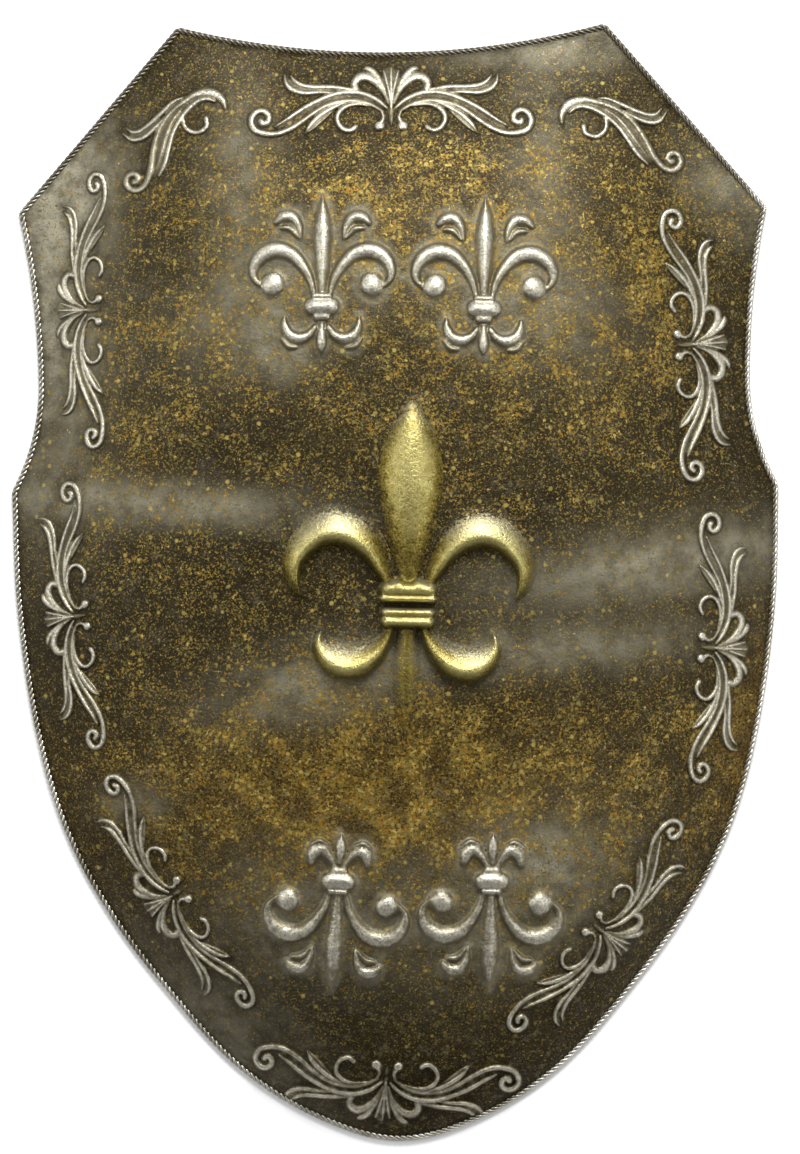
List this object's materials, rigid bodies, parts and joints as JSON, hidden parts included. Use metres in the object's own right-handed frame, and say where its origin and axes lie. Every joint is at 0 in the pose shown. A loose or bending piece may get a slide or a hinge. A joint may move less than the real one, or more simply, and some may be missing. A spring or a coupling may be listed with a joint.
{
  "type": "knight shield",
  "caption": "Dished, waisted knight's shield of embossed steel with leafy scrolls, lilies and a twisted wire rim, lying face up.",
  "frame": {"origin": "on the surface that the shield lies on, under the middle of its outline", "axes": "+X across the shield, +Y towards its top edge, +Z out of its face"},
  "size_m": [0.4806, 0.6993, 0.0861],
  "materials": {
    "bronzed_steel": "steel sheet with a dark olive-brown patina, gold spatter, rubbed silver relief and a gold-painted lily",
    "silvered_wire": "bright twisted wire, darkened between the strands"
  },
  "bodies": {
    "root": {"shell": "bronzed_steel", "rim_rope": "silvered_wire"}
  },
  "joints": []
}
